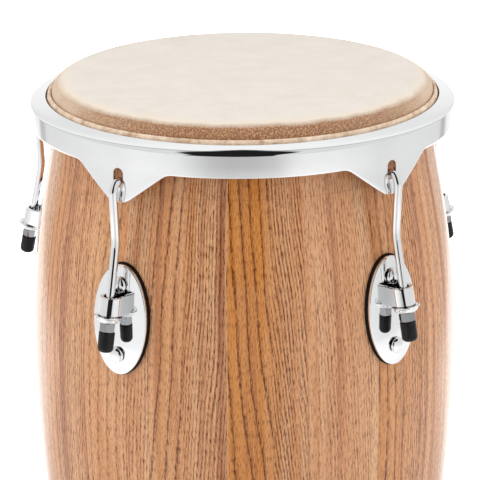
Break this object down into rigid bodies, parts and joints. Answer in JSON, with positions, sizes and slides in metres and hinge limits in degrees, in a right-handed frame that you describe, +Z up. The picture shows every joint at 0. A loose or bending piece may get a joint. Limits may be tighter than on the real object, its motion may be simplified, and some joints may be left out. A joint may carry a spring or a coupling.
{
  "type": "conga drum",
  "caption": "Tall barrel-shaped hand drum with a rawhide head, a chromed rim held down by hook rods in oval side plates, and an open foot.",
  "frame": {"origin": "middle of the floor space that the drum takes up, on the floor; the shell's axis stands 10.4 mm in front of it, because the odd lug stands out at the back", "axes": "+Z up along the shell; one lug at the back, +Y"},
  "size_m": [0.3526, 0.3499, 0.711],
  "materials": {
    "lacquered_ash": "gloss lacquer",
    "rawhide": "matt, mottled",
    "chrome": "polished",
    "zinc_steel": "satin",
    "black_rubber": "matt"
  },
  "bodies": {
    "drum": {"shell": "lacquered_ash", "drumhead": "rawhide", "foot_ring": "black_rubber", "lug_1_plate": "chrome", "lug_1_gasket": "black_rubber", "dished_washer_1": "chrome", "upper_bolt_1": "chrome", "upper_bolt_nut_1": "zinc_steel", "lower_bolt_1": "chrome", "lower_bolt_nut_1": "zinc_steel", "lug_2_plate": "chrome", "lug_2_gasket": "black_rubber", "dished_washer_2": "chrome", "upper_bolt_2": "chrome", "upper_bolt_nut_2": "zinc_steel", "lower_bolt_2": "chrome", "lower_bolt_nut_2": "zinc_steel", "lug_3_plate": "chrome", "lug_3_gasket": "black_rubber", "dished_washer_3": "chrome", "upper_bolt_3": "chrome", "upper_bolt_nut_3": "zinc_steel", "lower_bolt_3": "chrome", "lower_bolt_nut_3": "zinc_steel", "lug_4_plate": "chrome", "lug_4_gasket": "black_rubber", "dished_washer_4": "chrome", "upper_bolt_4": "chrome", "upper_bolt_nut_4": "zinc_steel", "lower_bolt_4": "chrome", "lower_bolt_nut_4": "zinc_steel", "lug_5_plate": "chrome", "lug_5_gasket": "black_rubber", "dished_washer_5": "chrome", "upper_bolt_5": "chrome", "upper_bolt_nut_5": "zinc_steel", "lower_bolt_5": "chrome", "lower_bolt_nut_5": "zinc_steel"},
    "rim": {"rim": "chrome", "skin_roll": "rawhide", "flesh_hoop": "zinc_steel"},
    "hook_1": {"hook_rod_1": "chrome", "rod_cap_1": "black_rubber"},
    "nut_1": {"rod_nut_1": "chrome"},
    "hook_2": {"hook_rod_2": "chrome", "rod_cap_2": "black_rubber"},
    "nut_2": {"rod_nut_2": "chrome"},
    "hook_3": {"hook_rod_3": "chrome", "rod_cap_3": "black_rubber"},
    "nut_3": {"rod_nut_3": "chrome"},
    "hook_4": {"hook_rod_4": "chrome", "rod_cap_4": "black_rubber"},
    "nut_4": {"rod_nut_4": "chrome"},
    "hook_5": {"hook_rod_5": "chrome", "rod_cap_5": "black_rubber"},
    "nut_5": {"rod_nut_5": "chrome"}
  },
  "joints": [
    {"name": "rim_slide", "type": "slide", "parent": "drum", "child": "rim", "axis": [0, 0, -1], "range_m": [0, 0.006]},
    {"name": "hook_1_swing", "type": "hinge", "parent": "rim", "child": "hook_1", "pos_m": [0, 0.14708, 0.666], "axis": [1, 0, 0], "range_deg": [0, 0.801]},
    {"name": "nut_1_spin", "type": "hinge", "parent": "drum", "child": "nut_1", "pos_m": [0, 0.16538, 0.57264], "axis": [0, 0.2245, -0.9745], "range_deg": [0, 2180]},
    {"name": "hook_2_swing", "type": "hinge", "parent": "rim", "child": "hook_2", "pos_m": [-0.14973, 0.0383, 0.666], "axis": [0.309, 0.9511, 0], "range_deg": [0, 0.801]},
    {"name": "nut_2_spin", "type": "hinge", "parent": "drum", "child": "nut_2", "pos_m": [-0.16713, 0.04395, 0.57264], "axis": [-0.2136, 0.0694, -0.9745], "range_deg": [0, 2180]},
    {"name": "hook_3_swing", "type": "hinge", "parent": "rim", "child": "hook_3", "pos_m": [-0.09254, -0.13772, 0.666], "axis": [-0.809, 0.5878, 0], "range_deg": [0, 0.801]},
    {"name": "nut_3_spin", "type": "hinge", "parent": "drum", "child": "nut_3", "pos_m": [-0.10329, -0.15252, 0.57264], "axis": [-0.132, -0.1817, -0.9745], "range_deg": [0, 2180]},
    {"name": "hook_4_swing", "type": "hinge", "parent": "rim", "child": "hook_4", "pos_m": [0.09254, -0.13772, 0.666], "axis": [-0.809, -0.5878, 0], "range_deg": [0, 0.801]},
    {"name": "nut_4_spin", "type": "hinge", "parent": "drum", "child": "nut_4", "pos_m": [0.10329, -0.15252, 0.57264], "axis": [0.132, -0.1817, -0.9745], "range_deg": [0, 2180]},
    {"name": "hook_5_swing", "type": "hinge", "parent": "rim", "child": "hook_5", "pos_m": [0.14973, 0.0383, 0.666], "axis": [0.309, -0.9511, 0], "range_deg": [0, 0.801]},
    {"name": "nut_5_spin", "type": "hinge", "parent": "drum", "child": "nut_5", "pos_m": [0.16713, 0.04395, 0.57264], "axis": [0.2136, 0.0694, -0.9745], "range_deg": [0, 2180]}
  ],
  "couplings": [
    {"joint": "hook_1_swing", "follows": "rim_slide", "rad_per_m": 2.2834},
    {"joint": "nut_1_spin", "follows": "rim_slide", "rad_per_m": 6283.2},
    {"joint": "hook_2_swing", "follows": "rim_slide", "rad_per_m": 2.2834},
    {"joint": "nut_2_spin", "follows": "rim_slide", "rad_per_m": 6283.2},
    {"joint": "hook_3_swing", "follows": "rim_slide", "rad_per_m": 2.2834},
    {"joint": "nut_3_spin", "follows": "rim_slide", "rad_per_m": 6283.2},
    {"joint": "hook_4_swing", "follows": "rim_slide", "rad_per_m": 2.2834},
    {"joint": "nut_4_spin", "follows": "rim_slide", "rad_per_m": 6283.2},
    {"joint": "hook_5_swing", "follows": "rim_slide", "rad_per_m": 2.2834},
    {"joint": "nut_5_spin", "follows": "rim_slide", "rad_per_m": 6283.2}
  ]
}
